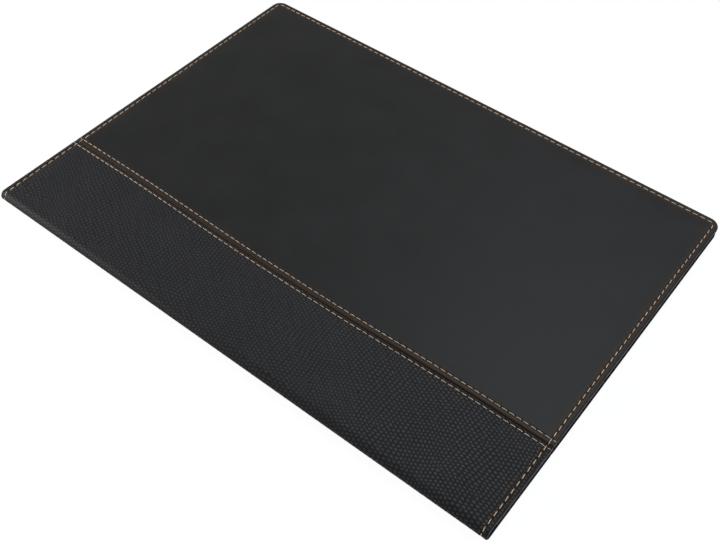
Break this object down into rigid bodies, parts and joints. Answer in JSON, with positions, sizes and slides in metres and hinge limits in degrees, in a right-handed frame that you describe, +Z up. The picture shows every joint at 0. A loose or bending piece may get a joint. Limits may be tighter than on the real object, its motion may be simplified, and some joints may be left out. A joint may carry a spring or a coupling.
{
  "type": "menu cover",
  "caption": "Closed book-style menu cover: stitched two-tone leather boards with clear page pockets, joined by a soft folding spine",
  "frame": {"origin": "centre of the closed cover's footprint, on the surface it lies on", "axes": "+X from the spine to the fore edge, +Y from the bottom edge to the top edge, +Z up through the closed cover"},
  "size_m": [0.24, 0.33, 0.008],
  "materials": {
    "smooth_leather": "smooth charcoal leather, fine pores, semi-matt",
    "grained_leather": "charcoal leather pressed with a rounded pebble grain in wavy rows, semi-gloss bumps",
    "lining_leather": "plain charcoal leather, matt",
    "foam": "thin grey foam",
    "board": "dense grey bookbinding board",
    "card": "thin plain card",
    "lining_fabric": "black woven lining cloth",
    "clear_film": "clear glossy pocket film",
    "binding_tape": "black woven binding tape",
    "thread": "tan twisted sewing thread"
  },
  "bodies": {
    "back_cover": {"back_board": "board", "back_edge_stitches": "thread", "back_grained_panel": "grained_leather", "back_hinge_strip": "lining_leather", "back_infill": "card", "back_inner_edge_stitches": "thread", "back_lining": "lining_fabric", "back_padding": "foam", "back_pocket": "clear_film", "back_pocket_binding": "binding_tape", "back_seam_stitches_grained_side": "thread", "back_seam_stitches_smooth_side": "thread", "back_smooth_panel": "smooth_leather"},
    "spine": {"spine_hinge_strip": "lining_leather", "spine_leather": "grained_leather", "spine_stitches": "thread"},
    "front_cover": {"front_board": "board", "front_edge_stitches": "thread", "front_grained_panel": "grained_leather", "front_hinge_strip": "lining_leather", "front_infill": "card", "front_inner_edge_stitches": "thread", "front_lining": "lining_fabric", "front_padding": "foam", "front_pocket": "clear_film", "front_pocket_binding": "binding_tape", "front_seam_stitches_grained_side": "thread", "front_seam_stitches_smooth_side": "thread", "front_smooth_panel": "smooth_leather"}
  },
  "joints": [
    {"name": "back_fold", "type": "hinge", "parent": "back_cover", "child": "spine", "pos_m": [-0.11887, 0, 0.00113], "axis": [0, -1, 0], "range_deg": [0, 90]},
    {"name": "front_fold", "type": "hinge", "parent": "spine", "child": "front_cover", "pos_m": [-0.11887, 0, 0.00687], "axis": [0, -1, 0], "range_deg": [0, 90]}
  ],
  "couplings": [
    {"joint": "back_fold", "follows": "front_fold", "ratio": 1}
  ]
}
